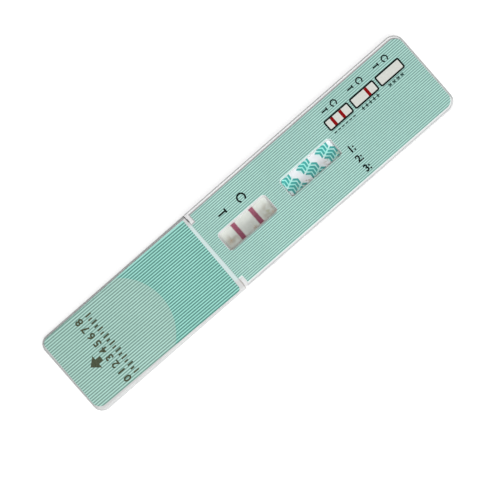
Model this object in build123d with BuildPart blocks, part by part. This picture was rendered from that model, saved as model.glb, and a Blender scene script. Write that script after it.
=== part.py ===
from build123d import *
import math
import os

os.makedirs("parts", exist_ok=True)

# A capped dip card lying on its back, printed face up, in millimetres.
# +X runs from the cap to the far end, +Y across the card, +Z out of the printed face.
# The origin is the centre of the face that it rests on.

# Overall size
card_length = 118.0
card_width = 24.0
card_thickness = 4.4
half_length = card_length / 2
half_width = card_width / 2
parting_z = card_thickness / 2

# Where the cap meets the card
seam_x = -10.87
seam_gap = 0.12
corner_gap = 0.25
setback_y = 9.95
body_front = seam_x + seam_gap

# Moulded walls of the two housings
face_wall = 1.0
side_wall = 1.1
far_corner_radius = 3.0
front_edge_round = 0.4
back_edge_round = 0.5
inner_corner_radius = far_corner_radius - side_wall
roof_z = card_thickness - face_wall
cavity_front = body_front + side_wall
cavity_end = half_length - side_wall
cavity_half_width = half_width - side_wall

# Locating lip of the back housing, inside the front housing's wall
lip_height = 0.35
lip_thickness = 0.4
lip_play = 0.05

# Label recess in the printed face, with shoulders at the two seam corners
recess_depth = 0.12
recess_slope = 0.3
recess_z = card_thickness - recess_depth
recess_angle = math.degrees(math.atan(recess_slope / recess_depth))
recess_half_width = 11.35
recess_end = 58.5
recess_corner_radius = 2.5
shoulder_x = -9.75
shoulder_y = 9.0
shoulder_ramp = 0.45

# Test strip: its layers lie on the backing card from the dipping end to the wick
strip_width = 5.0
strip_start = -50.0
strip_length = 80.0
strip_end = strip_start + strip_length
strip_z = 1.55
card_stock = 0.3
card_top = strip_z + card_stock
membrane_start = -12.0
membrane_end = 13.0
membrane_thickness = 0.15
membrane_top = card_top + membrane_thickness
conjugate_start = -20.0
conjugate_end = -10.5
conjugate_thickness = 0.4
conjugate_top = card_top + conjugate_thickness
sample_end = -18.0
sample_thickness = 0.75
sample_top = card_top + sample_thickness
wick_start = 11.0
wick_thickness = 0.8
wick_top = card_top + wick_thickness
lap_ramp = 0.3
tape_thickness = 0.08
name_tape_top = wick_top + tape_thickness
dip_tape_start = -36.0
dip_tape_end = sample_end - 0.4

# Test and control lines, by centre and width along the strip
test_line_x = -3.06
test_line_width = 1.6
control_line_x = 2.8
control_line_width = 1.55
reaction_line_length = 4.96

# Windows, by centre and by opening next to the strip: their walls open outwards at one draft
window_y = 0.15
window_floor_width = 4.7
window_floor_radius = 0.55
window_draft = 0.206
skirt_wall = 0.85
skirt_play = 0.1
result_window_x = 0.0
result_floor_length = 14.6
result_skirt_z = membrane_top + skirt_play
tape_window_x = 20.81
tape_floor_length = 15.9
tape_skirt_z = name_tape_top + skirt_play

# Cradle that holds the strip in the back housing
cradle_half_width = strip_width / 2 + 0.05
rail_thickness = 0.8
rail_half_width = cradle_half_width + rail_thickness
rail_top = membrane_top + 0.05
cradle_end = strip_end + 0.1
stop_top = rail_top + 0.35
bed_rib_width = 0.8
bed_rib_pitch = 6.0
bed_rib_count = 7
press_bar_width = 0.7
press_bar_spots = (-8.95, 10.2)

# Pins of the front housing and their sockets in the back housing
pin_centre_x = 24.0
pin_pitch_x = 28.5
pin_pitch_y = 16.4
pin_rows = 3
pin_radius = 0.75
pin_play = 0.02
pin_tip_chamfer = 0.25
socket_wall = 0.75
socket_floor_z = 0.7
pin_tip_z = socket_floor_z + 0.3

# Cross ribs that stiffen both shells beside the strip
stiff_rib_width = 0.7
stiff_rib_height = 0.6
stiff_rib_pitch = 9.5
stiff_rib_count = 6
stiff_rib_low_y = 4.6

# Neck that the cap slides over, and the tongue that carries the strip's dipping end
neck_length = 6.4
neck_x = body_front - neck_length
neck_half_width = 10.75
neck_low_z = 1.0
neck_high_z = 3.4
neck_lead = 0.3
neck_wall = 0.75
channel_top = 2.85
channel_half_width = 2.6
tongue_x = -40.0
tongue_half_width = 4.4
tongue_corner_radius = 1.6
cover_x = -27.0
cover_corner = 1.2

# Detent bumps on the neck, which sit in grooves inside the cap's mouth
detent_x = -13.6
detent_length = 7.0
detent_radius = 0.4
detent_proud = 0.06
groove_radius = 0.5
groove_depth = 0.07

# Cap: its edges fall away in a steep bevel that starts in a soft round
cap_wall = 0.9
cap_cavity_half_width = 10.9
cap_cavity_end = -57.6
cap_corner_radius = 2.7
cap_bevel_width = 0.55
cap_bevel_depth = 1.9
cap_bevel_round = 0.45
cap_inner_radius = 1.5
cap_lead = 0.25
cap_rib_y = 6.9
cap_rib_width = 0.8
cap_rib_height = 0.3
cap_rib_start = -56.0
cap_rib_end = -18.0

# Label on the card, with its stripes printed a little askew
label_thickness = 0.14
label_z = recess_z + label_thickness
label_window_gap = 0.1
shoulder_gap = 0.15
shoulder_ramp_gap = 0.25
label_half_width = 10.95
label_front = -10.83
label_end = 58.45
label_corner_radius = 2.3
label_shoulder_x = shoulder_x + shoulder_gap
label_shoulder_y = shoulder_y - shoulder_ramp_gap
body_stripe_pitch = 0.561
body_stripe_width = 0.29
body_stripe_count = 39
body_stripe_y = -0.075
body_stripe_turn = -0.1
ink = 0.02

# Printed key: three boxes in a row, with bars that show the possible results
key_centre_x = 42.75
key_pitch = 8.4
key_y = 5.0
key_length = 7.6
key_width = 2.9
key_corner = 0.25
key_line = 0.27
key_line_ink = 0.03
key_bar_width = 0.85
key_test_offset = -1.62
key_control_offset = 1.1

# Label on the cap, stuck on slightly askew: its long sides reach the cap's rounded edges
cap_label_x = -35.1
cap_label_y = 0.07
cap_label_turn = -0.95
cap_label_length = 46.4
cap_label_low_y = -11.0
cap_label_high_y = 11.5
cap_label_sink = 0.18
cap_label_corner = 2.3
cap_label_low_corner = 1.0
cap_label_high_corner = 0.3
cap_stripe_pitch = 0.654
cap_stripe_width = 0.33
cap_stripe_count = 34
field_x = -7.2
field_y = -0.07
field_radius = 14.15
field_ink = 0.01

# Chevrons printed on the film over the wick: groups of four, turned, in staggered rows
chevron_height = 2.2
chevron_depth = 0.6
chevron_line = 0.6
chevron_count = 4
chevron_spacing = 0.95
chevron_turn = 23.0
group_x = 20.45
group_y = -0.84
group_pitch = 6.1
group_columns = 5
row_pitch = 2.36
row_shift = 1.12


def span(x_low, x_high, y_low, y_high, corner=0.0, mode=Mode.ADD):
    """Add a rectangle to the open sketch, given by its edges."""
    with Locations(((x_low + x_high) / 2, (y_low + y_high) / 2)):
        if corner > 0:
            RectangleRounded(x_high - x_low, y_high - y_low, corner, mode=mode)
        else:
            Rectangle(x_high - x_low, y_high - y_low, mode=mode)


def block(x_low, x_high, y_low, y_high, z_low, z_high, mode=Mode.ADD):
    """Add or cut a block in the open part, given by its faces."""
    with BuildSketch(Plane.XY.offset(z_low)) as outline:
        span(x_low, x_high, y_low, y_high)
    extrude(outline.sketch, amount=z_high - z_low, mode=mode)


def mirrored_blocks(x_low, x_high, y_low, y_high, z_low, z_high, mode=Mode.ADD):
    """Add or cut the same block on both sides of the strip."""
    block(x_low, x_high, y_low, y_high, z_low, z_high, mode)
    block(x_low, x_high, -y_high, -y_low, z_low, z_high, mode)


def flat_layer(x_low, x_high, z_low, thickness):
    """Add a flat layer of the strip."""
    block(x_low, x_high, -strip_width / 2, strip_width / 2, z_low, z_low + thickness)


def lapped_layer(points):
    """Add a layer of the strip from its lengthwise section, given by its corners."""
    with BuildSketch(Plane.XZ) as section:
        with BuildLine():
            Polyline(*points, close=True)
        make_face()
    extrude(section.sketch, amount=strip_width / 2, both=True)


def window_outline(floor_length, growth, mode=Mode.ADD):
    """Add or cut a window's outline in the open sketch, grown out from its opening next to the strip."""
    length = floor_length + 2 * growth
    width = window_floor_width + 2 * growth
    RectangleRounded(length, width, window_floor_radius + growth, mode=mode)


def window_skirt(centre_x, floor_length, skirt_z):
    """Add the wall that hangs from the roof around a window, down to the strip."""
    with BuildSketch(Plane((centre_x, window_y, skirt_z))) as outline:
        window_outline(floor_length, skirt_wall)
    extrude(outline.sketch, amount=roof_z - skirt_z)


def window_cut(centre_x, floor_length, skirt_z):
    """Cut a window whose walls slope in towards the strip."""
    with BuildSketch(Plane((centre_x, window_y, recess_z))) as opening:
        window_outline(floor_length, window_draft * (recess_z - skirt_z))
    with BuildSketch(Plane((centre_x, window_y, skirt_z))) as floor:
        window_outline(floor_length, 0)
    loft([opening.sketch, floor.sketch], mode=Mode.SUBTRACT)


def label_window(centre_x, floor_length, skirt_z):
    """Cut the label's window, a little wider than the opening under it, out of the open sketch."""
    growth = window_draft * (recess_z - skirt_z) + label_window_gap
    with Locations((centre_x, window_y)):
        window_outline(floor_length, growth, Mode.SUBTRACT)


def key_boxes(mode=Mode.ADD):
    """Add or cut the key's three boxes in the open sketch."""
    with Locations((key_centre_x, key_y)):
        with GridLocations(key_pitch, 0, 3, 1):
            add(key_box_plan.sketch, mode=mode)


def key_insides(mode=Mode.ADD):
    """Add or cut the insides of the key's three boxes in the open sketch."""
    with Locations((key_centre_x, key_y)):
        with GridLocations(key_pitch, 0, 3, 1):
            Rectangle(key_length - 2 * key_line, key_width - 2 * key_line, mode=mode)


def key_bars(mode=Mode.ADD):
    """Add or cut the key's bars: both lines in the first box, the control line in the second."""
    first = key_centre_x - key_pitch
    bar_spots = (first + key_test_offset, first + key_control_offset, key_centre_x + key_control_offset)
    with Locations(*[(bar_x, key_y) for bar_x in bar_spots]):
        Rectangle(key_bar_width, key_width - 2 * key_line, mode=mode)


def pin_columns(radius, z_start, z_end, mode=Mode.ADD):
    """Add or cut a round column on every pin's axis."""
    with BuildSketch(Plane((pin_centre_x, 0, z_start))) as circles:
        with GridLocations(pin_pitch_x, pin_pitch_y, pin_rows, 2):
            Circle(radius)
    extrude(circles.sketch, amount=z_end - z_start, mode=mode)


def stiffening_ribs(z, height):
    """Add the cross ribs beside the strip, standing on the given level."""
    reach = cavity_half_width - stiff_rib_low_y
    for side in (-1, 1):
        with BuildSketch(Plane((pin_centre_x, side * (stiff_rib_low_y + reach / 2), z))) as ribs:
            with GridLocations(stiff_rib_pitch, 0, stiff_rib_count, 1):
                Rectangle(stiff_rib_width, reach)
        extrude(ribs.sketch, amount=height)


def corner_setback(z_low, z_high):
    """Set both corners of a shell back from the seam, between the given levels."""
    setback_end = seam_x + corner_gap
    mirrored_blocks(body_front, setback_end, setback_y, half_width, z_low, z_high, Mode.SUBTRACT)


def neck_hollows(z_low, z_high):
    """Hollow the neck out beside the strip's channel, between the given levels."""
    hollow_low_y = rail_half_width + neck_wall
    hollow_high_y = neck_half_width - neck_wall
    mirrored_blocks(
        neck_x + neck_wall, body_front, hollow_low_y, hollow_high_y, z_low, z_high, Mode.SUBTRACT
    )


def detent_rods(z, radius, mode=Mode.ADD):
    """Add or cut a rod that lies across the neck at the detent."""
    with Locations(Location((detent_x, 0, z), (90, 0, 0))):
        Cylinder(radius, detent_length, mode=mode)


# Plan of the two shells: square at the seam, rounded at the far end
with BuildSketch() as shell_plan:
    span(body_front, half_length, -half_width, half_width)
    fillet(shell_plan.vertices().group_by(Axis.X)[-1], far_corner_radius)

# Plan of the space inside them
with BuildSketch() as cavity_plan:
    span(cavity_front, cavity_end, -cavity_half_width, cavity_half_width, inner_corner_radius)

# Plan of the locating lip's outer side, in the middle of the shell's wall
with BuildSketch() as lip_plan:
    offset(cavity_plan.sketch, amount=lip_thickness)

# Plan of the label recess's floor: open towards the seam between the two shoulders
with BuildSketch() as recess_plan:
    span(body_front - 1, recess_end, -recess_half_width, recess_half_width)
    fillet(recess_plan.vertices().group_by(Axis.X)[-1], recess_corner_radius)
    span(body_front - 1, shoulder_x, shoulder_y, half_width, mode=Mode.SUBTRACT)
    span(body_front - 1, shoulder_x, -half_width, -shoulder_y, mode=Mode.SUBTRACT)

# Plan of the neck
with BuildSketch() as neck_plan:
    span(neck_x, body_front, -neck_half_width, neck_half_width)
    chamfer(neck_plan.vertices().group_by(Axis.X)[0], neck_lead)

# Front housing: outer form with a soft edge on every side but the seam
with BuildPart() as front_housing:
    with BuildSketch(Plane.XY.offset(parting_z)):
        add(shell_plan.sketch)
    extrude(amount=card_thickness - parting_z)
    face_edges = front_housing.faces().sort_by(Axis.Z)[-1].edges()
    fillet(face_edges.sort_by(Axis.X)[1:], front_edge_round)

    # Inside space, and the groove for the back housing's lip
    with BuildSketch(Plane.XY.offset(parting_z)):
        add(cavity_plan.sketch)
    extrude(amount=roof_z - parting_z, mode=Mode.SUBTRACT)
    with BuildSketch(Plane.XY.offset(parting_z)):
        offset(lip_plan.sketch, amount=lip_play)
    extrude(amount=lip_height + lip_play, mode=Mode.SUBTRACT)

    # Setback of the two shoulders at the seam, and the label recess with sloping sides
    corner_setback(parting_z, card_thickness)
    with BuildSketch(Plane.XY.offset(recess_z)):
        add(recess_plan.sketch)
    extrude(amount=recess_depth, taper=-recess_angle, mode=Mode.SUBTRACT)

    # Wider ramp on the inner side of each shoulder
    with BuildSketch(Plane.YZ.offset(body_front)):
        with BuildLine():
            Polyline(
                (shoulder_y, recess_z),
                (shoulder_y + shoulder_ramp, card_thickness),
                (shoulder_y, card_thickness),
                close=True,
            )
        make_face()
        mirror(about=Plane.YZ)
    extrude(amount=shoulder_x - body_front, mode=Mode.SUBTRACT)

    # Windows, each with a skirt that reaches down to the strip
    window_skirt(result_window_x, result_floor_length, result_skirt_z)
    window_skirt(tape_window_x, tape_floor_length, tape_skirt_z)
    window_cut(result_window_x, result_floor_length, result_skirt_z)
    window_cut(tape_window_x, tape_floor_length, tape_skirt_z)

    # Bars that press the membrane down on both sides of the result window
    for bar_x in press_bar_spots:
        with BuildSketch(Plane((bar_x, 0, result_skirt_z))):
            Rectangle(press_bar_width, 2 * rail_half_width)
        extrude(amount=roof_z - result_skirt_z)
    stiffening_ribs(roof_z, -stiff_rib_height)

    # Pins, tapered at the tip
    pin_columns(pin_radius, roof_z, pin_tip_z)
    chamfer(front_housing.edges().filter_by(GeomType.CIRCLE).group_by(Axis.Z)[0], pin_tip_chamfer)

    # Upper half of the neck and its detent, and the cover over the root of the tongue
    with BuildSketch(Plane.XY.offset(parting_z)):
        add(neck_plan.sketch)
    extrude(amount=neck_high_z - parting_z)
    detent_rods(neck_high_z + detent_proud - detent_radius, detent_radius)
    with BuildSketch(Plane.XY.offset(parting_z)) as cover_plan:
        span(cover_x, neck_x, -rail_half_width, rail_half_width)
        chamfer(cover_plan.vertices().group_by(Axis.X)[0], cover_corner)
    extrude(amount=neck_high_z - parting_z)

    # Hollows of the neck, and the strip's channel
    neck_hollows(parting_z, channel_top)
    block(
        cover_x, cavity_front, -channel_half_width, channel_half_width, parting_z, channel_top, Mode.SUBTRACT
    )
front_housing.part.label = "front_housing"
export_step(front_housing.part, "parts/front_housing.step")

# Back housing: a tray with a soft edge on every side but the seam
with BuildPart() as back_housing:
    with BuildSketch():
        add(shell_plan.sketch)
    extrude(amount=parting_z)
    rest_edges = back_housing.faces().sort_by(Axis.Z)[0].edges()
    fillet(rest_edges.sort_by(Axis.X)[1:], back_edge_round)
    with BuildSketch(Plane.XY.offset(face_wall)):
        add(cavity_plan.sketch)
    extrude(amount=parting_z - face_wall, mode=Mode.SUBTRACT)
    corner_setback(0, parting_z)

    # Locating lip round the inside of the rim
    with BuildSketch(Plane.XY.offset(parting_z)):
        add(lip_plan.sketch)
        add(cavity_plan.sketch, mode=Mode.SUBTRACT)
    extrude(amount=lip_height)

    # Lower half of the neck with its detent, and the tongue
    with BuildSketch(Plane.XY.offset(neck_low_z)):
        add(neck_plan.sketch)
    extrude(amount=parting_z - neck_low_z)
    detent_rods(neck_low_z - detent_proud + detent_radius, detent_radius)
    with BuildSketch(Plane.XY.offset(neck_low_z)) as tongue_plan:
        span(tongue_x, neck_x, -tongue_half_width, tongue_half_width)
        fillet(tongue_plan.vertices().group_by(Axis.X)[0], tongue_corner_radius)
    extrude(amount=strip_z - neck_low_z)

    # Hollows of the neck, and the strip's channel through the seam wall
    neck_hollows(strip_z, parting_z)
    channel_cut_z = parting_z + lip_height
    block(
        neck_x, cavity_front, -rail_half_width, rail_half_width, strip_z, channel_cut_z, Mode.SUBTRACT
    )

    # Cradle: two rails from the tongue to the stop, over a bed of cross ribs
    mirrored_blocks(
        tongue_x + tongue_corner_radius, cradle_end, cradle_half_width, rail_half_width, neck_low_z, rail_top
    )
    block(cradle_end, cradle_end + rail_thickness, -rail_half_width, rail_half_width, face_wall, stop_top)
    with BuildSketch(Plane(((cavity_front + cradle_end) / 2, 0, face_wall))):
        with GridLocations(bed_rib_pitch, 0, bed_rib_count, 1):
            Rectangle(bed_rib_width, 2 * cradle_half_width)
    extrude(amount=strip_z - face_wall)
    stiffening_ribs(face_wall, stiff_rib_height)

    # Sockets for the front housing's pins
    pin_columns(pin_radius + pin_play + socket_wall, face_wall, parting_z)
    pin_columns(pin_radius + pin_play, socket_floor_z, parting_z, Mode.SUBTRACT)
back_housing.part.label = "back_housing"
export_step(back_housing.part, "parts/back_housing.step")

# Outer form of the cap
with BuildPart() as cap_form:
    with BuildSketch() as cap_plan:
        span(-half_length, seam_x, -half_width, half_width)
        fillet(cap_plan.vertices().group_by(Axis.X)[0], cap_corner_radius)
    extrude(amount=card_thickness)
    for side in (0, -1):
        wide_face = cap_form.faces().sort_by(Axis.Z)[side]
        bevel_edges = wide_face.edges().sort_by(Axis.X)[:-1]
        chamfer(bevel_edges, cap_bevel_width, cap_bevel_depth, reference=wide_face)
        wide_face = cap_form.faces().sort_by(Axis.Z)[side]
        fillet(wide_face.edges().sort_by(Axis.X)[:-1], cap_bevel_round)

# Plan of one box of the key, with its corners taken off
with BuildSketch() as key_box_plan:
    Rectangle(key_length, key_width)
    chamfer(key_box_plan.vertices(), key_corner)

# Plan of the cap's label, in the label's own turned plane
cap_label_plane = Plane(
    origin=(cap_label_x, cap_label_y, card_thickness - cap_label_sink),
    x_dir=(math.cos(math.radians(cap_label_turn)), math.sin(math.radians(cap_label_turn)), 0),
    z_dir=(0, 0, 1),
)
with BuildSketch() as cap_label_plan:
    span(-cap_label_length / 2, cap_label_length / 2, cap_label_low_y, cap_label_high_y)
    fillet(cap_label_plan.vertices().group_by(Axis.X)[0], cap_label_corner)
    fillet(cap_label_plan.vertices().group_by(Axis.X)[-1].sort_by(Axis.Y)[:1], cap_label_low_corner)
    fillet(cap_label_plan.vertices().group_by(Axis.X)[-1].sort_by(Axis.Y)[-1:], cap_label_high_corner)

# Plan of the deeper field on it: from the seam to an arc that bulges towards the seam
with BuildSketch() as cap_field_plan:
    add(cap_label_plan.sketch)
    with Locations((field_x, field_y)):
        Circle(field_radius, mode=Mode.SUBTRACT)
    span(-cap_label_length, field_x, 2 * cap_label_low_y, 2 * cap_label_high_y, mode=Mode.SUBTRACT)

# Cap: a flat sleeve with bevelled sides, closed at one end
with BuildPart() as cap:
    add(cap_form.part)

    # Inside space with a lead-in at the mouth
    with BuildSketch(Plane.XY.offset(cap_wall)) as cap_cavity_plan:
        span(cap_cavity_end, seam_x, -cap_cavity_half_width, cap_cavity_half_width)
        fillet(cap_cavity_plan.vertices().group_by(Axis.X)[0], cap_inner_radius)
    extrude(amount=card_thickness - 2 * cap_wall, mode=Mode.SUBTRACT)
    mouth = cap.faces().filter_by(Plane.YZ).sort_by(Axis.X)[-1]
    chamfer(mouth.inner_wires()[0].edges(), cap_lead)

    # Grooves for the neck's detents, and guide ribs that stop short of the neck
    detent_rods(card_thickness - cap_wall + groove_depth - groove_radius, groove_radius, Mode.SUBTRACT)
    detent_rods(cap_wall - groove_depth + groove_radius, groove_radius, Mode.SUBTRACT)
    for rib_low_z in (cap_wall, card_thickness - cap_wall - cap_rib_height):
        mirrored_blocks(
            cap_rib_start,
            cap_rib_end,
            cap_rib_y - cap_rib_width / 2,
            cap_rib_y + cap_rib_width / 2,
            rib_low_z,
            rib_low_z + cap_rib_height,
        )

    # Shallow seat for the label
    with BuildSketch(cap_label_plane):
        add(cap_label_plan.sketch)
    extrude(amount=cap_label_sink, mode=Mode.SUBTRACT)
cap.part.label = "cap"
export_step(cap.part, "parts/cap.step")

# Test strip, built up layer by layer on the backing card
with BuildPart() as backing_card:
    flat_layer(strip_start, strip_end, strip_z, card_stock)
backing_card.part.label = "backing_card"
export_step(backing_card.part, "parts/backing_card.step")

with BuildPart() as membrane:
    flat_layer(membrane_start, membrane_end, card_top, membrane_thickness)
membrane.part.label = "membrane"
export_step(membrane.part, "parts/membrane.step")

# The conjugate pad laps over the start of the membrane
with BuildPart() as conjugate_pad:
    lapped_layer(
        [
            (conjugate_start, card_top),
            (membrane_start - lap_ramp, card_top),
            (membrane_start, membrane_top),
            (conjugate_end, membrane_top),
            (conjugate_end, membrane_top + conjugate_thickness),
            (membrane_start - lap_ramp, membrane_top + conjugate_thickness),
            (membrane_start - 2 * lap_ramp, conjugate_top),
            (conjugate_start, conjugate_top),
        ]
    )
conjugate_pad.part.label = "conjugate_pad"
export_step(conjugate_pad.part, "parts/conjugate_pad.step")

# The sample pad laps over the start of the conjugate pad, and is pressed thinner there
with BuildPart() as sample_pad:
    lapped_layer(
        [
            (strip_start, card_top),
            (conjugate_start - lap_ramp, card_top),
            (conjugate_start, conjugate_top),
            (sample_end, conjugate_top),
            (sample_end, sample_top),
            (strip_start, sample_top),
        ]
    )
sample_pad.part.label = "sample_pad"
export_step(sample_pad.part, "parts/sample_pad.step")

# The wick laps over the end of the membrane
with BuildPart() as absorbent_pad:
    lapped_layer(
        [
            (wick_start, membrane_top),
            (membrane_end, membrane_top),
            (membrane_end + lap_ramp, card_top),
            (strip_end, card_top),
            (strip_end, wick_top),
            (wick_start, wick_top),
        ]
    )
absorbent_pad.part.label = "absorbent_pad"
export_step(absorbent_pad.part, "parts/absorbent_pad.step")

with BuildPart() as name_tape:
    flat_layer(wick_start, strip_end, wick_top, tape_thickness)
name_tape.part.label = "name_tape"
export_step(name_tape.part, "parts/name_tape.step")

with BuildPart() as dip_tape:
    flat_layer(dip_tape_start, dip_tape_end, sample_top, tape_thickness)
dip_tape.part.label = "dip_tape"
export_step(dip_tape.part, "parts/dip_tape.step")

# Groups of chevrons printed on the film over the wick, cut off by its edges
with BuildSketch() as chevron_plan:
    Polygon(
        (0, chevron_height / 2),
        (chevron_line, chevron_height / 2),
        (chevron_line + chevron_depth, 0),
        (chevron_line, -chevron_height / 2),
        (0, -chevron_height / 2),
        (chevron_depth, 0),
    )
with BuildPart() as name_tape_print:
    with BuildSketch(Plane.XY.offset(name_tape_top)):
        for row in (-1, 0, 1):
            with Locations((group_x + row * row_shift, group_y - row * row_pitch)):
                with GridLocations(group_pitch, 0, group_columns, 1):
                    with Locations(Location((0, 0, 0), chevron_turn)):
                        with GridLocations(chevron_spacing, 0, chevron_count, 1):
                            add(chevron_plan.sketch)
        span(wick_start, strip_end, -strip_width / 2, strip_width / 2, mode=Mode.INTERSECT)
    extrude(amount=ink)
name_tape_print.part.label = "name_tape_print"
export_step(name_tape_print.part, "parts/name_tape_print.step")

with BuildPart() as test_line:
    with BuildSketch(Plane((test_line_x, 0, membrane_top))):
        Rectangle(test_line_width, reaction_line_length)
    extrude(amount=ink)
test_line.part.label = "test_line"
export_step(test_line.part, "parts/test_line.step")

with BuildPart() as control_line:
    with BuildSketch(Plane((control_line_x, 0, membrane_top))):
        Rectangle(control_line_width, reaction_line_length)
    extrude(amount=ink)
control_line.part.label = "control_line"
export_step(control_line.part, "parts/control_line.step")

# Plan of the card's label: it fits the recess, runs out to the seam and leaves the windows open
with BuildSketch() as body_label_plan:
    span(label_front, label_end, -label_half_width, label_half_width)
    fillet(body_label_plan.vertices().group_by(Axis.X)[-1], label_corner_radius)
    span(label_front, label_shoulder_x, label_shoulder_y, half_width, mode=Mode.SUBTRACT)
    span(label_front, label_shoulder_x, -half_width, -label_shoulder_y, mode=Mode.SUBTRACT)
    label_window(result_window_x, result_floor_length, result_skirt_z)
    label_window(tape_window_x, tape_floor_length, tape_skirt_z)

with BuildPart() as body_label:
    with BuildSketch(Plane.XY.offset(recess_z)):
        add(body_label_plan.sketch)
    extrude(amount=label_thickness)
body_label.part.label = "body_label"
export_step(body_label.part, "parts/body_label.step")

# Printed stripes, interrupted by the windows and the key
with BuildPart() as body_label_stripes:
    with BuildSketch(Plane.XY.offset(label_z)):
        with Locations(Location(((label_front + label_end) / 2, body_stripe_y, 0), body_stripe_turn)):
            with GridLocations(0, body_stripe_pitch, 1, body_stripe_count):
                Rectangle(label_end - label_front + 1, body_stripe_width)
        add(body_label_plan.sketch, mode=Mode.INTERSECT)
        key_boxes(Mode.SUBTRACT)
    extrude(amount=ink)
body_label_stripes.part.label = "body_label_stripes"
export_step(body_label_stripes.part, "parts/body_label_stripes.step")

with BuildPart() as result_key_frames:
    with BuildSketch(Plane.XY.offset(label_z)):
        key_boxes()
        key_insides(Mode.SUBTRACT)
    extrude(amount=key_line_ink)
result_key_frames.part.label = "result_key_frames"
export_step(result_key_frames.part, "parts/result_key_frames.step")

with BuildPart() as result_key_fields:
    with BuildSketch(Plane.XY.offset(label_z)):
        key_insides()
        key_bars(Mode.SUBTRACT)
    extrude(amount=ink)
result_key_fields.part.label = "result_key_fields"
export_step(result_key_fields.part, "parts/result_key_fields.step")

with BuildPart() as result_key_bars:
    with BuildSketch(Plane.XY.offset(label_z)):
        key_bars()
    extrude(amount=ink)
result_key_bars.part.label = "result_key_bars"
export_step(result_key_bars.part, "parts/result_key_bars.step")

# Label of the cap, in its seat, with the deeper field and two sets of stripes printed on it.
# All four stop where the cap's edge falls away under them.
with BuildPart() as cap_label:
    with BuildSketch(cap_label_plane):
        add(cap_label_plan.sketch)
    extrude(amount=label_thickness)
    add(cap_form.part, mode=Mode.INTERSECT)
cap_label.part.label = "cap_label"
export_step(cap_label.part, "parts/cap_label.step")

with BuildPart() as cap_label_field:
    with BuildSketch(cap_label_plane.offset(label_thickness)):
        add(cap_field_plan.sketch)
    extrude(amount=field_ink)
    add(cap_form.part, mode=Mode.INTERSECT)
cap_label_field.part.label = "cap_label_field"
export_step(cap_label_field.part, "parts/cap_label_field.step")

with BuildPart() as cap_field_stripes:
    with BuildSketch(cap_label_plane.offset(label_thickness + field_ink)):
        with GridLocations(0, cap_stripe_pitch, 1, cap_stripe_count):
            Rectangle(cap_label_length, cap_stripe_width)
        add(cap_field_plan.sketch, mode=Mode.INTERSECT)
    extrude(amount=ink)
    add(cap_form.part, mode=Mode.INTERSECT)
cap_field_stripes.part.label = "cap_field_stripes"
export_step(cap_field_stripes.part, "parts/cap_field_stripes.step")

with BuildPart() as cap_label_stripes:
    with BuildSketch(cap_label_plane.offset(label_thickness)):
        with GridLocations(0, cap_stripe_pitch, 1, cap_stripe_count):
            Rectangle(cap_label_length, cap_stripe_width)
        add(cap_label_plan.sketch, mode=Mode.INTERSECT)
        add(cap_field_plan.sketch, mode=Mode.SUBTRACT)
    extrude(amount=ink)
    add(cap_form.part, mode=Mode.INTERSECT)
cap_label_stripes.part.label = "cap_label_stripes"
export_step(cap_label_stripes.part, "parts/cap_label_stripes.step")
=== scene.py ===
import math

import bmesh
import bpy
from mathutils import Matrix, Vector


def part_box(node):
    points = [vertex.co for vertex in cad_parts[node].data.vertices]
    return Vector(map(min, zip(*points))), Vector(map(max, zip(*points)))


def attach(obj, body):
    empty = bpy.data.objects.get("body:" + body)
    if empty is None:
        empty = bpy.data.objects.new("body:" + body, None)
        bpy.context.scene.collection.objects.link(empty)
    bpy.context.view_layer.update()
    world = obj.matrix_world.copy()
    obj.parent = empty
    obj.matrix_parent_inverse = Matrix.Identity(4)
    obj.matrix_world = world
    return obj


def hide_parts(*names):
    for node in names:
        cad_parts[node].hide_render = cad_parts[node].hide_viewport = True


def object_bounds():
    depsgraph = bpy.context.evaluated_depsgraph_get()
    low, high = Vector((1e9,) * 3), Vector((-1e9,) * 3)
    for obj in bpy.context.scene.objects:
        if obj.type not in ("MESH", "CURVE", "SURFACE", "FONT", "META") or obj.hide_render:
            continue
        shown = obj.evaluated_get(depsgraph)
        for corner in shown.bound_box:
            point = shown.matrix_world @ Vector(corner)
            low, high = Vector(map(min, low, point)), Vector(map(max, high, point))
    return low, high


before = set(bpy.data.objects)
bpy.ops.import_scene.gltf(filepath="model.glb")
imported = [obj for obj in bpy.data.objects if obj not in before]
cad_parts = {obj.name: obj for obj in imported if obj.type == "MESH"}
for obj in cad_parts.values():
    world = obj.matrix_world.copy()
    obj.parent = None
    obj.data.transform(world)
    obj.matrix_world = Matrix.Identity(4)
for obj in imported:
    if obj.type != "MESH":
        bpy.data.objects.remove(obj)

cad_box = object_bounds()
mm = 0.001

# Photograph: the real width it covers, the card's turn in it, and the point at its middle
view_width = 124.1 * mm
card_turn = math.radians(41.15)
view_centre = Vector((-2.12 * mm, -3.21 * mm, 0))
# Camera: a long lens, which looks almost straight down all over the picture. Both in millimetres.
lens = 150
sensor = 36

# Levels between which the type is printed, on the labels and just over their stripes
body_levels = (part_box("body_label")[1].z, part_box("body_label_stripes")[1].z + 0.005 * mm)
cap_levels = (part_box("cap_label")[1].z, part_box("cap_label_stripes")[1].z + 0.01 * mm)


def srgb(red, green, blue):
    """A colour given as seen on screen, from 0 to 255, in linear values with full alpha."""
    linear = []
    for value in (red, green, blue):
        share = value / 255
        linear.append(share / 12.92 if share <= 0.04045 else ((share + 0.055) / 1.055) ** 2.4)
    return (*linear, 1.0)


# Node helpers


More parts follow.
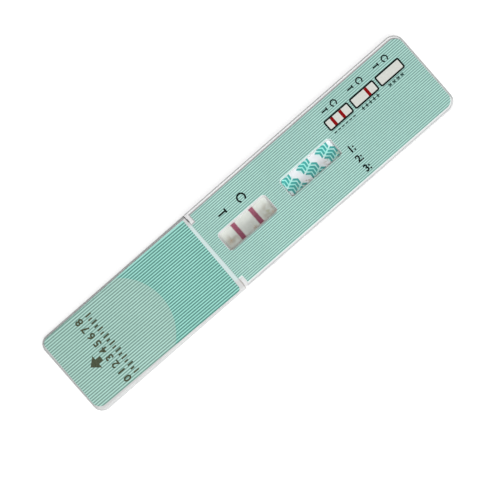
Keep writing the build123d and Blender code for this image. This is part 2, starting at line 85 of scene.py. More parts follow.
def new_material(name, roughness, specular=0.5, coat=0.0, coat_roughness=0.1, sheen=0.0):
    """A material with these plain values on its shader, returned with its node tree and shader."""
    material = bpy.data.materials.new(name)
    material.use_nodes = True
    tree = material.node_tree
    shader = tree.nodes["Principled BSDF"]
    shader.inputs["Roughness"].default_value = roughness
    shader.inputs["Specular IOR Level"].default_value = specular
    shader.inputs["Coat Weight"].default_value = coat
    shader.inputs["Coat Roughness"].default_value = coat_roughness
    shader.inputs["Sheen Weight"].default_value = sheen
    return material, tree, shader


def add_node(tree, kind, inputs=None, **settings):
    """A new node with the given properties and input values."""
    node = tree.nodes.new(kind)
    for name, value in settings.items():
        setattr(node, name, value)
    for name, value in (inputs or {}).items():
        node.inputs[name].default_value = value
    return node


def object_place(tree, stretch=(1, 1, 1), turn=0.0):
    """The point on the object in its own metres, optionally scaled and turned about Z."""
    place = add_node(tree, "ShaderNodeTexCoord").outputs["Object"]
    mapping = add_node(tree, "ShaderNodeMapping", {"Scale": stretch, "Rotation": (0, 0, turn)})
    tree.links.new(place, mapping.inputs["Vector"])
    return mapping.outputs["Vector"]


def place_along(tree, *axes):
    """The point's places along the given axes of the object, in metres."""
    parts = add_node(tree, "ShaderNodeSeparateXYZ")
    tree.links.new(object_place(tree), parts.inputs["Vector"])
    return [parts.outputs[axis] for axis in axes]


def grain(tree, size, detail=2.0, rough=0.5, stretch=(1, 1, 1), turn=0.0):
    """Soft noise from 0 to 1 whose cells measure about the given size in metres."""
    noise = add_node(
        tree, "ShaderNodeTexNoise", {"Scale": 1 / size, "Detail": detail, "Roughness": rough}
    )
    tree.links.new(object_place(tree, stretch, turn), noise.inputs["Vector"])
    return noise.outputs["Fac"]


def ramp(tree, value, low, high, out_low=0.0, out_high=1.0):
    """The value moved from one range to another, held at its ends. Either may run backwards."""
    node = add_node(
        tree,
        "ShaderNodeMapRange",
        {"From Min": low, "From Max": high, "To Min": out_low, "To Max": out_high},
        interpolation_type="SMOOTHSTEP",
    )
    tree.links.new(value, node.inputs["Value"])
    return node.outputs["Result"]


def blend(tree, share, first, second):
    """A colour between two others. Each is a colour or a node's output."""
    node = add_node(tree, "ShaderNodeMix", data_type="RGBA")
    tree.links.new(share, node.inputs["Factor"])
    for slot, colour in (("A", first), ("B", second)):
        socket = next(s for s in node.inputs if s.name == slot and s.type == "RGBA")
        if isinstance(colour, tuple):
            socket.default_value = colour
        else:
            tree.links.new(colour, socket)
    return next(s for s in node.outputs if s.type == "RGBA")


def arithmetic(tree, operation, first, second=0):
    """Plain arithmetic on one or two values. Each is a number or a node's output."""
    node = add_node(tree, "ShaderNodeMath", operation=operation)
    for socket, value in zip(node.inputs, (first, second)):
        if isinstance(value, (int, float)):
            socket.default_value = value
        else:
            tree.links.new(value, socket)
    return node.outputs["Value"]


def product(tree, first, *others):
    """All the values multiplied together. The first is a node's output."""
    for other in others:
        first = arithmetic(tree, "MULTIPLY", first, other)
    return first


def distance(tree, value, middle):
    """How far a value lies from the middle, either way."""
    return arithmetic(tree, "ABSOLUTE", arithmetic(tree, "SUBTRACT", value, middle))


def within(tree, value, low, high, edge=0.1 * mm):
    """1 where the value lies between two limits, and 0 outside them."""
    half = (high - low) / 2
    return ramp(tree, distance(tree, value, (low + high) / 2), half - edge, half + edge, 1, 0)


# Shares of a patch's radius at which it starts to fade, and is gone
patch_full = 0.4
patch_gone = 1.3


def patch(tree, x, y, radius, ragged=0.5):
    """A ragged round patch: 1 at its middle on the object, and 0 outside it."""
    near = add_node(tree, "ShaderNodeVectorMath", operation="DISTANCE")
    flat = add_node(tree, "ShaderNodeMapping", {"Scale": (1, 1, 0)})
    tree.links.new(object_place(tree), flat.inputs["Vector"])
    tree.links.new(flat.outputs["Vector"], near.inputs[0])
    near.inputs[1].default_value = (x, y, 0)
    waver = arithmetic(tree, "MULTIPLY", grain(tree, size=radius / 2), ragged * radius)
    away = arithmetic(tree, "ADD", near.outputs["Value"], waver)
    return ramp(tree, away, patch_full * radius, patch_gone * radius, 1, 0)


def bumps(tree, shader, *layers):
    """Give the shader relief from (height, depth in metres) layers, one over the other."""
    normal = None
    for height, depth in layers:
        node = add_node(tree, "ShaderNodeBump", {"Strength": 1.0, "Distance": depth})
        tree.links.new(height, node.inputs["Height"])
        if normal is not None:
            tree.links.new(normal, node.inputs["Normal"])
        normal = node.outputs["Normal"]
    tree.links.new(normal, shader.inputs["Normal"])


def colour_of(tree, shader, colour):
    """Let a node's output be the shader's colour."""
    tree.links.new(colour, shader.inputs["Base Color"])


# Painted shade and mint casts on the mouldings. A band is where one lies; a fade runs from its
# start to its end.

# Colours of painted shade: dark in the joint's +Y end and the recess gap, brownish at the joint's
# -Y end and at the windows' feet, grey on the rims that face away from the light
painted_shade_dark = srgb(66, 60, 63)
painted_shade_brown = srgb(170, 140, 116)
painted_rim_shade = srgb(128, 146, 140)
lip_mint = srgb(220, 241, 239)
wall_mint = srgb(228, 252, 246)
label_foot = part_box("body_label")[0].z

# Joint between card and cap, with painted shade: its middle, and how far from it the shade fades
# out to either side
joint_x = (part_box("cap")[1].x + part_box("body_label")[0].x) / 2
joint_fade = (0.13 * mm, 0.3 * mm)
# Its two shaded ends: where along Y each starts, its strength and its colour
joint_ends = [(9.8 * mm, 0.8, painted_shade_dark), (-9.4 * mm, 0.25, painted_shade_brown)]
# Share of that place over which each fades in, to either side of it
joint_end_blur = 0.03

# Painted shadow at the foot of the recess wall along the +Y side, in the gap beside the label
recess_band_x = (-10.5 * mm, 58.6 * mm)
recess_band_z = (label_foot - 0.025 * mm, label_foot + 0.025 * mm)
recess_edge_z = 0.015 * mm
recess_fade_in_y = (8.7 * mm, 9.0 * mm)
recess_fade_out_y = (11.3 * mm, 11.45 * mm)
recess_strength = 0.5

# -Y walls of the windows: painted shade at the foot, and the mint cast over it
wall_band_x = (-9 * mm, 30 * mm)
wall_shade_fade_in_y = (-1.9 * mm, -2.15 * mm)
wall_shade_fade_out_y = (-2.25 * mm, -2.4 * mm)
wall_shade_strength = 0.5
wall_cast_fade_in_y = (-2.3 * mm, -2.45 * mm)
wall_cast_fade_out_y = (-3.1 * mm, -3.3 * mm)
wall_cast_strength = 0.9

# Lip of the cap, between the two shoulders of the card
lip_fade_in_x = (-12.1 * mm, -11.8 * mm)
lip_fade_out_y = (8.4 * mm, 9.4 * mm)
lip_strength = 0.9

# Bevelled rims that face away from the light, with painted shade: the axis across them, the fade
# along it and the strength. The side wall under them stays unshaded.
rim_fade_in_z = (label_foot - 0.6 * mm, label_foot - 0.3 * mm)
housing_shaded_rims = [("X", (58.35 * mm, 58.6 * mm), 0.45)]
cap_shaded_rims = [("X", (-58.4 * mm, -58.7 * mm), 0.4), ("Y", (11.5 * mm, 11.8 * mm), 0.4)]


def joint_shade(tree, base):
    """Painted shade in the joint between card and cap: dark at its +Y end, and faint at its -Y
    end.
    """
    x, y = place_along(tree, "X", "Y")
    near = ramp(tree, distance(tree, x, joint_x), *joint_fade, 1, 0)
    for edge, strength, colour in joint_ends:
        start = edge * (1 - joint_end_blur)
        full = edge * (1 + joint_end_blur)
        beyond = ramp(tree, y, start, full, 0, strength)
        base = blend(tree, product(tree, near, beyond), base, colour)
    return base


def recess_shadow(tree, base):
    """Painted shadow along the foot of the recess wall, in the gap that the label leaves there."""
    x, y, z = place_along(tree, "X", "Y", "Z")
    along = within(tree, x, *recess_band_x)
    beside = ramp(tree, y, *recess_fade_in_y, 0, recess_strength)
    inside = ramp(tree, y, *recess_fade_out_y, 1, 0)
    low = within(tree, z, *recess_band_z, recess_edge_z)
    return blend(tree, product(tree, low, beside, inside, along), base, painted_shade_dark)


def window_shade_and_cast(tree, base):
    """Painted shade at the foot of the windows' -Y walls, and a pale mint cast over it."""
    x, y = place_along(tree, "X", "Y")
    along = within(tree, x, *wall_band_x)
    low = ramp(tree, y, *wall_shade_fade_in_y, 0, wall_shade_strength)
    low_end = ramp(tree, y, *wall_shade_fade_out_y, 1, 0)
    base = blend(tree, product(tree, low, low_end, along), base, painted_shade_brown)
    high = ramp(tree, y, *wall_cast_fade_in_y, 0, wall_cast_strength)
    high_end = ramp(tree, y, *wall_cast_fade_out_y, 1, 0)
    return blend(tree, product(tree, high, high_end, along), base, wall_mint)


def rim_shade(tree, base, axis, fade, strength):
    """Painted shade on the bevelled rim that lies beyond a line across one axis."""
    across, z = place_along(tree, axis, "Z")
    beyond = ramp(tree, across, *fade, 0, strength)
    above = ramp(tree, z, *rim_fade_in_z, 0, 1)
    return blend(tree, product(tree, beyond, above), base, painted_rim_shade)


def lip_cast(tree, base):
    """A pale mint cast on the cap's lip, between the two shoulders of the card."""
    x, y = place_along(tree, "X", "Y")
    lip = ramp(tree, x, *lip_fade_in_x, 0, lip_strength)
    between = ramp(tree, arithmetic(tree, "ABSOLUTE", y), *lip_fade_out_y, 1, 0)
    return blend(tree, product(tree, lip, between), base, lip_mint)


# Materials

# Levels of soft noise between which a tone changes
noise_low = 0.3
noise_high = 0.7


def two_tones(tree, noise, shade, light):
    """A shade where the noise is low, and a lighter tone where it is high."""
    return blend(tree, ramp(tree, noise, noise_low, noise_high), shade, light)


def moulded_plastic(name, light, shade, has_recess=False, has_lip=False, rims=()):
    """White moulded polystyrene: satin, with a fine mould texture, slow sink marks and painted
    shade.
    """
    material, tree, shader = new_material(name, roughness=0.4, specular=0.25)
    slow = grain(tree, size=7 * mm, detail=1)
    fine = grain(tree, size=0.22 * mm, detail=3, rough=0.6)
    base = two_tones(tree, slow, shade, light)
    if has_lip:
        base = lip_cast(tree, base)
    # Painted shade in the joint, in the recess gap, at the windows' feet and on rims away from the
    # light
    base = joint_shade(tree, base)
    if has_recess:
        base = window_shade_and_cast(tree, recess_shadow(tree, base))
    for axis, fade, strength in rims:
        base = rim_shade(tree, base, axis, fade, strength)
    colour_of(tree, shader, base)
    rough = ramp(tree, fine, low=0.25, high=0.75, out_low=0.34, out_high=0.46)
    tree.links.new(rough, shader.inputs["Roughness"])
    bumps(tree, shader, (slow, 0.02 * mm), (fine, 0.004 * mm))
    return material


def label_film(name, light, shade):
    """Printed label film: a little uneven in tone, with the faint peel of its adhesive."""
    material, tree, shader = new_material(name, roughness=0.42, coat=0.15, coat_roughness=0.3)
    drift = grain(tree, size=9 * mm, detail=2)
    speckle = grain(tree, size=0.18 * mm, detail=2, rough=0.7)
    tone = arithmetic(tree, "ADD", arithmetic(tree, "MULTIPLY", speckle, 0.4), drift)
    colour_of(tree, shader, blend(tree, ramp(tree, tone, low=0.45, high=0.95), shade, light))
    peel = grain(tree, size=1.1 * mm, detail=1)
    bumps(tree, shader, (peel, 0.006 * mm), (speckle, 0.0015 * mm))
    return material


def printed_ink(name, light, shade, roughness=0.45, specular=0.45):
    """Printed ink: a shade of mottle where it is thinner."""
    material, tree, shader = new_material(name, roughness=roughness, specular=specular)
    mottle = grain(tree, size=0.35 * mm, detail=3, rough=0.65)
    colour_of(tree, shader, two_tones(tree, mottle, shade, light))
    bumps(tree, shader, (mottle, 0.002 * mm))
    return material


def matt_ink(name, light, shade):
    """Printed ink without gloss, for the type and for the key."""
    return printed_ink(name, light, shade, roughness=0.7, specular=0.1)


# Width of the pads' fibres, and the share to which their noise is squeezed along them
fibre_width = 0.16 * mm
fibre_squeeze = 0.4


def fibre_pad(name, light, shade):
    """A felted pad: crossing fibres, matt and soft."""
    material, tree, shader = new_material(name, roughness=0.95, specular=0.1, sheen=0.2)
    along = grain(tree, fibre_width, detail=3, stretch=(fibre_squeeze, 1, 1), turn=0.5)
    across = grain(tree, fibre_width, detail=3, stretch=(1, fibre_squeeze, 1), turn=0.3)
    weave = arithmetic(tree, "MAXIMUM", along, across)
    colour_of(tree, shader, blend(tree, ramp(tree, weave, low=0.4, high=0.75), shade, light))
    bumps(tree, shader, (weave, 0.05 * mm))
    return material


def strip_laminate(name, light, shade):
    """The strip's white plastic backing card: smooth, with a faint drawn grain along it."""
    material, tree, shader = new_material(name, roughness=0.5, specular=0.4)
    drawn = grain(tree, size=0.2 * mm, detail=2, stretch=(0.1, 1, 1))
    colour_of(tree, shader, two_tones(tree, drawn, shade, light))
    bumps(tree, shader, (drawn, 0.002 * mm))
    return material


def stained_and_shaded(tree, base, stains_and_shade):
    """A colour with stains and painted shade: each has a place, radius, speckle size, strength and
    colour.
    """
    for x, y, radius, speckle, strength, colour in stains_and_shade:
        specks = ramp(tree, grain(tree, size=speckle, detail=1), low=0.45, high=0.62)
        share = product(tree, patch(tree, x, y, radius), specks, strength)
        base = blend(tree, share, base, colour)
    return base


def wetted_membrane(name, light, shade, stains_and_shade):
    """The membrane after a run: matt white, with drying marks and painted shade on its -Y half."""
    material, tree, shader = new_material(name, roughness=0.85, specular=0.2)
    tooth = grain(tree, size=0.12 * mm, detail=3, rough=0.7)
    cloud = grain(tree, size=2.2 * mm, detail=2)
    tone = arithmetic(tree, "ADD", arithmetic(tree, "MULTIPLY", tooth, 0.5), cloud)
    base = blend(tree, ramp(tree, tone, low=0.45, high=1.05), shade, light)
    colour_of(tree, shader, stained_and_shaded(tree, base, stains_and_shade))
    bumps(tree, shader, (tooth, 0.004 * mm))
    return material


# Shares of a dyed line's half width: its waver, where it starts to fade, and where it is gone
line_waver = 0.25
line_full = 0.6
line_gone = 1.08


def dyed_line(name, node, deep, pale, edge_colour):
    """A line of dye in the membrane: fullest along its middle, and faded out at its sides."""
    low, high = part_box(node)
    middle = (low.x + high.x) / 2
    half = (high.x - low.x) / 2
    material, tree, shader = new_material(name, roughness=0.85, specular=0.2)
    x = place_along(tree, "X")[0]
    wander = arithmetic(tree, "SUBTRACT", grain(tree, size=0.4 * mm), 0.5)
    waver = arithmetic(tree, "MULTIPLY", wander, line_waver * half)
    away = arithmetic(tree, "ADD", distance(tree, x, middle), waver)
    fade = ramp(tree, away, line_full * half, line_gone * half)
    mottle = grain(tree, size=0.3 * mm, detail=3, rough=0.6)
    dye = two_tones(tree, mottle, deep, pale)
    colour_of(tree, shader, blend(tree, fade, dye, edge_colour))
    bumps(tree, shader, (mottle, 0.003 * mm))
    return material


# Patches of tint that the chevrons leave in the film between them
tint_radius = 2.1 * mm
tint_ragged = 0.2
tint_strength = 0.95


def clear_tape(name, light, shade, stains_and_shade=(), tints=(), tint=None):
    """Thin white film over the pads: glossy, faintly wavy, tinted by its print and stained."""
    material, tree, shader = new_material(name, roughness=0.25)
    wave = grain(tree, size=2.5 * mm, detail=1)
    base = two_tones(tree, wave, shade, light)
    for x, y in tints:
        share = product(tree, patch(tree, x, y, tint_radius, tint_ragged), tint_strength)
        base = blend(tree, share, base, tint)
    colour_of(tree, shader, stained_and_shaded(tree, base, stains_and_shade))
    bumps(tree, shader, (wave, 0.03 * mm))
    return material


# Stains and painted shade: x, y, radius, speckle size, strength and colour
rust = srgb(196, 148, 92)
olive = srgb(176, 178, 138)
painted_shade_grey = srgb(186, 182, 168)
film_dirt = srgb(168, 158, 132)
# The three broad grey patches are painted shade on the -Y half, under the window's -Y wall; the
# rest are stains
membrane_stains_and_shade = [
    (-5.4 * mm, -1.0 * mm, 2.8 * mm, 2.4 * mm, 0.9, painted_shade_grey),
    (0.2 * mm, -1.9 * mm, 2.2 * mm, 1.8 * mm, 0.7, painted_shade_grey),
    (6.0 * mm, -0.9 * mm, 2.8 * mm, 2.4 * mm, 0.9, painted_shade_grey),
    (-6.2 * mm, -0.7 * mm, 1.0 * mm, 0.32 * mm, 0.5, rust),
    (0.9 * mm, -1.7 * mm, 0.7 * mm, 0.3 * mm, 0.4, rust),
    (5.6 * mm, -1.1 * mm, 1.7 * mm, 0.9 * mm, 0.5, olive),
    (6.6 * mm, -1.9 * mm, 0.8 * mm, 0.4 * mm, 0.4, rust),
]
film_stains = [
    (15.4 * mm, -2.3 * mm, 1.7 * mm, 0.7 * mm, 0.8, film_dirt),
    (18.2 * mm, -2.3 * mm, 1.6 * mm, 0.6 * mm, 0.8, film_dirt),
    (21.8 * mm, -2.4 * mm, 1.3 * mm, 0.6 * mm, 0.6, film_dirt),
    (25.0 * mm, -2.0 * mm, 1.8 * mm, 0.7 * mm, 0.8, film_dirt),
    (28.0 * mm, -1.6 * mm, 1.5 * mm, 0.6 * mm, 0.6, olive),
    (16.9 * mm, -1.9 * mm, 0.9 * mm, 0.35 * mm, 0.7, rust),
]

# Middles of the chevron groups that the second window shows: the middle one, and the steps
# from column to column and from row to row
print_x = 20.95 * mm
print_y = -0.64 * mm
print_column_x = 6.1 * mm
print_row_x = 1.12 * mm
print_row_y = -2.36 * mm
print_places = [
    (print_x + print_column_x * column + print_row_x * row, print_y + print_row_y * row)
    for row in (-1, 0, 1)
    for column in (-1, 0, 1)
]

housing_light = srgb(242, 242, 242)
housing_shade = srgb(236, 236, 237)
cap_light = srgb(224, 225, 224)
cap_shade = srgb(217, 218, 218)
membrane_light = srgb(222, 225, 219)
membrane_shade = srgb(211, 215, 208)
dye_deep = srgb(140, 72, 94)
dye_pale = srgb(164, 96, 116)
name_film_light = srgb(231, 234, 238)
name_film_shade = srgb(221, 224, 228)
print_tint = srgb(134, 232, 219)
ink_black = srgb(4, 18, 16)
ink_black_thin = srgb(12, 30, 27)
ink_grey = srgb(26, 58, 52)
ink_grey_thin = srgb(38, 72, 66)
ink_olive = srgb(72, 81, 62)
ink_olive_thin = srgb(90, 97, 76)

materials = {
    "front_housing": moulded_plastic(
        "front_plastic", housing_light, housing_shade, has_recess=True, rims=housing_shaded_rims
    ),
    "back_housing": moulded_plastic("back_plastic", housing_light, housing_shade),
    "cap": moulded_plastic("cap_plastic", cap_light, cap_shade, has_lip=True, rims=cap_shaded_rims),
    "backing_card": strip_laminate("backing_laminate", srgb(242, 242, 240), srgb(234, 234, 232)),
    "sample_pad": fibre_pad("sample_fibre", srgb(240, 238, 230), srgb(214, 210, 200)),
    "conjugate_pad": fibre_pad("conjugate_fibre", srgb(206, 160, 170), srgb(176, 120, 136)),
    "absorbent_pad": fibre_pad("wick_fibre", srgb(240, 238, 232), srgb(220, 216, 208)),
    "membrane": wetted_membrane("membrane", membrane_light, membrane_shade, membrane_stains_and_shade),
    "test_line": dyed_line("test_dye", "test_line", dye_deep, dye_pale, membrane_light),
    "control_line": dyed_line("control_dye", "control_line", dye_deep, dye_pale, membrane_light),
    "name_tape": clear_tape(
        "name_film", name_film_light, name_film_shade, film_stains, print_places, print_tint
    ),
    "dip_tape": clear_tape("dip_film", srgb(236, 236, 236), srgb(228, 228, 230)),
    "name_tape_print": printed_ink("tape_print", srgb(34, 172, 166), srgb(14, 150, 144)),
    "body_label": label_film("body_film", srgb(189, 238, 227), srgb(180, 229, 218)),
    "body_label_stripes": printed_ink("body_stripes", srgb(126, 173, 164), srgb(116, 164, 155)),
    "cap_label": label_film("cap_film", srgb(186, 230, 219), srgb(177, 221, 209)),
    "cap_label_stripes": printed_ink("cap_stripes", srgb(122, 165, 153), srgb(112, 156, 144)),
    "cap_label_field": label_film("cap_field", srgb(164, 234, 222), srgb(153, 225, 212)),
    "cap_field_stripes": printed_ink("cap_field_stripes", srgb(72, 148, 136), srgb(62, 139, 127)),
    "result_key_frames": matt_ink("key_frame_ink", ink_black_thin, ink_black),
    "result_key_fields": printed_ink("key_field_ink", srgb(229, 231, 224), srgb(219, 222, 214)),
    "result_key_bars": matt_ink("key_bar_ink", srgb(158, 8, 10), srgb(142, 2, 6)),
}
for node_name, material in materials.items():
    node_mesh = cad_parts[node_name].data
    node_mesh.materials.clear()
    node_mesh.materials.append(material)

# Type: thin printed pieces on the labels


def add_outline(shape, points, place, turn, low, high):
    """Add a closed outline to a bmesh as a thin plate, turned and moved to its place."""
    seat = Matrix.Translation((*place, 0)) @ Matrix.Rotation(turn, 4, "Z")
    rings = []
    for level in (low, high):
        rings.append([shape.verts.new(seat @ Vector((x, y, level))) for x, y in points])
    bottom, top = rings
    shape.faces.new(top)
    shape.faces.new(bottom[::-1])
    for index in range(len(points)):
        after = (index + 1) % len(points)
        shape.faces.new((bottom[index], bottom[after], top[after], top[index]))


def bar(length, width):
    """Outline of a bar along X."""
    return [
        (-length / 2, -width / 2),
        (length / 2, -width / 2),
        (length / 2, width / 2),
        (-length / 2, width / 2),
    ]


def cross(length, width):
    """Outline of a plus sign."""
    arm = length / 2
    half = width / 2
    quarter = [(half, half), (half, arm), (-half, arm)]
    outline = []
    for turn in range(4):
        spin = Matrix.Rotation(turn * math.pi / 2, 2)
        outline += [tuple(spin @ Vector(point)) for point in quarter]
    return outline


def letter_t(height, width, stroke):
    """Outline of a T that stands up along +Y, about its middle."""
    top = height / 2
    return [
        (-stroke / 2, -top),
        (stroke / 2, -top),
        (stroke / 2, top - stroke),
        (width / 2, top - stroke),
        (width / 2, top),
        (-width / 2, top),
        (-width / 2, top - stroke),
        (-stroke / 2, top - stroke),
    ]


def letter_c(size, stroke, gap, steps=32):
    """Outline of a round C that opens towards +X by the gap to either side, about its middle."""
    angles = [gap + (2 * math.pi - 2 * gap) * step / steps for step in range(steps + 1)]
    radius = size / 2
    outer = [(radius * math.cos(a), radius * math.sin(a)) for a in angles]
    inner = [((radius - stroke) * math.cos(a), (radius - stroke) * math.sin(a)) for a in angles]
    return outer + inner[::-1]


def rounded_box(length, width, radius, steps=6):
    """Outline of a box with rounded corners, about its middle."""
    outline = []
    for quarter, (side_x, side_y) in enumerate(((1, 1), (-1, 1), (-1, -1), (1, -1))):
        for step in range(steps + 1):
            angle = (quarter + step / steps) * math.pi / 2
            x = side_x * (length / 2 - radius) + radius * math.cos(angle)
            y = side_y * (width / 2 - radius) + radius * math.sin(angle)
            outline.append((x, y))
    return outline


def arrow(tip, neck, tail, head, shaft):
    """Outline of an arrow along X: the places of its tip, neck and tail, and two half widths."""
    return [
        (tip, 0),
        (neck, -head),
        (neck, -shaft),
        (tail, -shaft),
        (tail, shaft),
        (neck, shaft),
        (neck, head),
    ]


def add_frame(shape, outer, inner, place, low, high):
    """Add the closed frame between two outlines to a bmesh, as a thin plate."""
    rings = []
    for points in (outer, inner):
        for level in (low, high):
            rings.append([shape.verts.new((place[0] + x, place[1] + y, level)) for x, y in points])
    outer_low, outer_high, inner_low, inner_high = rings
    walls = [
        (outer_low, outer_high),
        (outer_high, inner_high),
        (inner_high, inner_low),
        (inner_low, outer_low),
    ]
    for index in range(len(outer)):
        after = (index + 1) % len(outer)
        for first, second in walls:
            shape.faces.new((first[index], first[after], second[after], second[index]))


# Widening of the figures' strokes, as a share of their size
figure_weight = 0.03


def add_figures(shape, text, size, place, turn, low, high):
    """Add plain figures to a bmesh, as thin raised type that is centred on its place."""
    curve = bpy.data.curves.new("figures", "FONT")
    curve.body = text
    curve.align_x = "CENTER"
    curve.align_y = "CENTER"
    curve.offset = figure_weight
    curve.extrude = 0.5  # to either side, which makes the type one unit thick before its scaling
    curve.resolution_u = 4
    typed = bpy.data.objects.new("figures", curve)
    mesh = bpy.data.meshes.new_from_object(typed)
    seat = Matrix.Translation((*place, (low + high) / 2)) @ Matrix.Rotation(turn, 4, "Z")
    mesh.transform(seat @ Matrix.Diagonal((size, size, high - low, 1)))
    shape.from_mesh(mesh)
    bpy.data.meshes.remove(mesh)
    bpy.data.objects.remove(typed)
    bpy.data.curves.remove(curve)


def printed_piece(name, shape, body, material):
    """Turn a bmesh of type into a piece that rides on a body."""
    mesh = bpy.data.meshes.new(name)
    bmesh.ops.recalc_face_normals(shape, faces=shape.faces)
    shape.to_mesh(mesh)
    shape.free()
    mesh.materials.append(material)
    piece = bpy.data.objects.new(name, mesh)
    bpy.context.scene.collection.objects.link(piece)
    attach(piece, body)
    return piece


type_black = matt_ink("type_black", ink_black_thin, ink_black)
type_grey = matt_ink("type_grey", ink_grey_thin, ink_grey)
type_olive = matt_ink("type_olive", ink_olive_thin, ink_olive)
sideways = -math.pi / 2

# Marks beside the result window, read from the card's +Y side
window_marks = bmesh.new()
big_t = letter_t(height=2.5 * mm, width=1.28 * mm, stroke=0.45 * mm)
big_t_place = (-3.19 * mm, 6.05 * mm)
big_c = letter_c(size=2.56 * mm, stroke=0.44 * mm, gap=math.radians(33))
big_c_place = (2.9 * mm, 5.9 * mm)
add_outline(window_marks, big_t, big_t_place, sideways, *body_levels)
add_outline(window_marks, big_c, big_c_place, sideways, *body_levels)
printed_piece("window_marks", window_marks, "card", type_black)

# Key: the boxes' printed frames, the same marks over each box and a row of signs under it
key_centre = 42.75 * mm
key_pitch = 8.4 * mm
key_x = [key_centre + step * key_pitch for step in (-1, 0, 1)]
key_frame_y = 5.06 * mm
key_mark_y = 8.52 * mm
key_sign_y = 2.62 * mm
key_frames = bmesh.new()
frame_low, frame_high = (corner.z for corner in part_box("result_key_frames"))
frame_outer = rounded_box(length=7.84 * mm, width=3.16 * mm, radius=0.55 * mm)
frame_inner = rounded_box(length=6.98 * mm, width=2.28 * mm, radius=0.2 * mm)
for box_x in key_x:
    add_frame(key_frames, frame_outer, frame_inner, (box_x, key_frame_y), frame_low, frame_high)
frame_piece = printed_piece("key_frames", key_frames, "card", type_black)
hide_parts("result_key_frames")

key_marks = bmesh.new()
key_signs = bmesh.new()
small_t = letter_t(height=1.75 * mm, width=0.94 * mm, stroke=0.33 * mm)
small_t_shift = -1.68 * mm
small_c = letter_c(size=1.88 * mm, stroke=0.33 * mm, gap=math.radians(28))
small_c_shift = 1.25 * mm
# Under each box: the sign, its turn, how many there are, and the step from one to the next
sign_rows = [
    (bar(length=0.8 * mm, width=0.3 * mm), 0, 6, 1.22 * mm),
    (cross(length=0.95 * mm, width=0.28 * mm), 0, 5, 1.2 * mm),
    (cross(length=1.0 * mm, width=0.28 * mm), math.pi / 4, 4, 1.3 * mm),
]
for box_x, (sign, sign_turn, sign_count, sign_pitch) in zip(key_x, sign_rows):
    add_outline(key_marks, small_t, (box_x + small_t_shift, key_mark_y), sideways, *body_levels)
    add_outline(key_marks, small_c, (box_x + small_c_shift, key_mark_y), sideways, *body_levels)
    for sign_index in range(sign_count):
        sign_x = box_x + (sign_index - (sign_count - 1) / 2) * sign_pitch
        add_outline(key_signs, sign, (sign_x, key_sign_y), sign_turn, *body_levels)
printed_piece("key_marks", key_marks, "card", type_black)
printed_piece("key_signs", key_signs, "card", type_grey)

# Numbered places to write on
place_count = 3
place_size = 2.6 * mm
place_x = 31.5 * mm
place_first_y = -3.05 * mm
place_step_y = -3.03 * mm
place_numbers = bmesh.new()
for index in range(place_count):
    number_place = (place_x, place_first_y + index * place_step_y)
    add_figures(place_numbers, f"{index + 1}:", place_size, number_place, 0, *body_levels)
printed_piece("place_numbers", place_numbers, "card", type_black)

# A plain scale and an arrow on the cap, read from its mouth. Every second tick has a number.
scale_turn = math.pi / 2 - math.radians(0.95)
tick_count = 17
tick_first_y = -9.3 * mm
tick_step_y = 1.14 * mm
tick_start_x = -45.75 * mm
tick_width = 0.42 * mm
tick_long = 1.7 * mm
tick_short = 1.1 * mm
scale_figure_x = -47.7 * mm
scale_figure_size = 2.8 * mm
cap_scale = bmesh.new()
for step in range(tick_count):
    is_numbered = step % 2 == 0
    tick_length = tick_long if is_numbered else tick_short
    tick_y = tick_first_y + step * tick_step_y
    tick_place = (tick_start_x + tick_length / 2, tick_y)
    add_outline(cap_scale, bar(tick_length, tick_width), tick_place, 0, *cap_levels)
    if is_numbered:
        figure_place = (scale_figure_x, tick_y)
        figure = str(step // 2)
        add_figures(cap_scale, figure, scale_figure_size, figure_place, scale_turn, *cap_levels)
arrow_outline = arrow(tip=-2.6 * mm, neck=-0.4 * mm, tail=1 * mm, head=1.9 * mm, shaft=0.7 * mm)
arrow_place = (-50.4 * mm, -1.3 * mm)
add_outline(cap_scale, arrow_outline, arrow_place, 0, *cap_levels)
printed_piece("cap_scale", cap_scale, "cap", type_olive)

# Floor: pale, white to the camera and to reflections, with the card's shadow kept. Its glow fills
# its lit tone up to white near the card, and is full far away, where the lamps don't reach.
floor_reach = 1.2
floor_level = -0.05 * mm
floor_tone = srgb(202, 202, 202)
glow_near = 0.69
glow_far = 1.0
glow_fade = (0.15, 0.5)
floor_mesh = bpy.data.meshes.new("floor")
floor_mesh.from_pydata(
    [
        (-floor_reach, -floor_reach, floor_level),
        (floor_reach, -floor_reach, floor_level),
        (floor_reach, floor_reach, floor_level),
        (-floor_reach, floor_reach, floor_level),
    ],
    [],
    [(0, 1, 2, 3)],
)
floor = bpy.data.objects.new("floor", floor_mesh)
bpy.context.scene.collection.objects.link(floor)

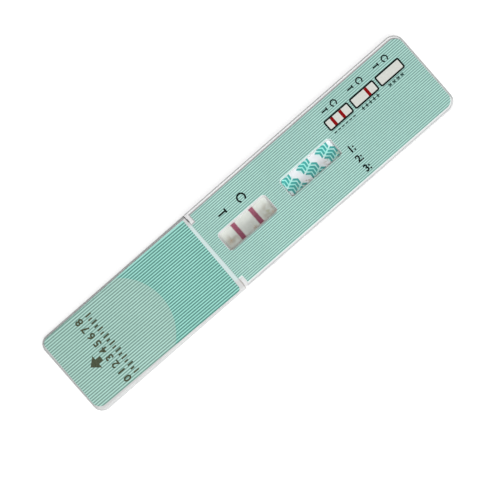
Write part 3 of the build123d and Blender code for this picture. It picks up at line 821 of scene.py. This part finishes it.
floor_material = bpy.data.materials.new("floor_white")
floor_material.use_nodes = True
floor_tree = floor_material.node_tree
floor_tree.nodes.clear()
floor_output = add_node(floor_tree, "ShaderNodeOutputMaterial")
floor_diffuse = add_node(floor_tree, "ShaderNodeBsdfDiffuse", {"Color": floor_tone})
floor_glow = add_node(floor_tree, "ShaderNodeEmission", {"Color": (1, 1, 1, 1)})
floor_sum = add_node(floor_tree, "ShaderNodeAddShader")
rays = add_node(floor_tree, "ShaderNodeLightPath").outputs
seen = arithmetic(floor_tree, "MAXIMUM", rays["Is Camera Ray"], rays["Is Glossy Ray"])
seen = arithmetic(floor_tree, "MAXIMUM", seen, rays["Is Transmission Ray"])
floor_away = add_node(floor_tree, "ShaderNodeVectorMath", operation="LENGTH")
floor_tree.links.new(object_place(floor_tree), floor_away.inputs[0])
floor_white = ramp(floor_tree, floor_away.outputs["Value"], *glow_fade, glow_near, glow_far)
floor_tree.links.new(product(floor_tree, seen, floor_white), floor_glow.inputs["Strength"])
floor_tree.links.new(floor_diffuse.outputs["BSDF"], floor_sum.inputs[0])
floor_tree.links.new(floor_glow.outputs["Emission"], floor_sum.inputs[1])
floor_tree.links.new(floor_sum.outputs["Shader"], floor_output.inputs["Surface"])
floor_mesh.materials.append(floor_material)

# World: even fill light, and plain white where the camera looks past the floor
fill_strength = 0.12
world = bpy.data.worlds.new("studio")
world.use_nodes = True
bpy.context.scene.world = world
world_tree = world.node_tree
background = world_tree.nodes["Background"]
background.inputs["Color"].default_value = (1, 1, 1, 1)
world_rays = add_node(world_tree, "ShaderNodeLightPath").outputs
world_strength = ramp(world_tree, world_rays["Is Camera Ray"], 0, 1, fill_strength, 1.0)
world_tree.links.new(world_strength, background.inputs["Strength"])


def soft_box(name, place, size, power):
    """A square area light at the given place, aimed at the card and unseen by the camera."""
    light = bpy.data.lights.new(name, "AREA")
    light.size = size
    light.energy = power
    lamp = bpy.data.objects.new(name, light)
    lamp.location = place
    lamp.rotation_euler = Vector(place).to_track_quat("Z", "Y").to_euler()
    lamp.visible_camera = False
    bpy.context.scene.collection.objects.link(lamp)


soft_box("key", place=(0, -0.7, 0.48), size=0.2, power=2.7)
soft_box("sky", place=(0, -0.55, 0.8), size=1.1, power=3.6)
soft_box("top", place=(0, 0, 1.0), size=0.6, power=3.5)

# Camera: straight above, turned so that the card lies across the picture as photographed
camera_data = bpy.data.cameras.new("camera")
camera_data.lens = lens
camera_data.sensor_width = sensor
camera_data.clip_end = 10
camera = bpy.data.objects.new("camera", camera_data)
camera_height = cad_box[1].z + view_width * lens / sensor
camera_turn = Matrix.Rotation(-card_turn, 4, "Z")
camera.matrix_world = Matrix.Translation((*view_centre.xy, camera_height)) @ camera_turn
bpy.context.scene.collection.objects.link(camera)
bpy.context.scene.camera = camera
bpy.context.scene.view_settings.view_transform = "Standard"
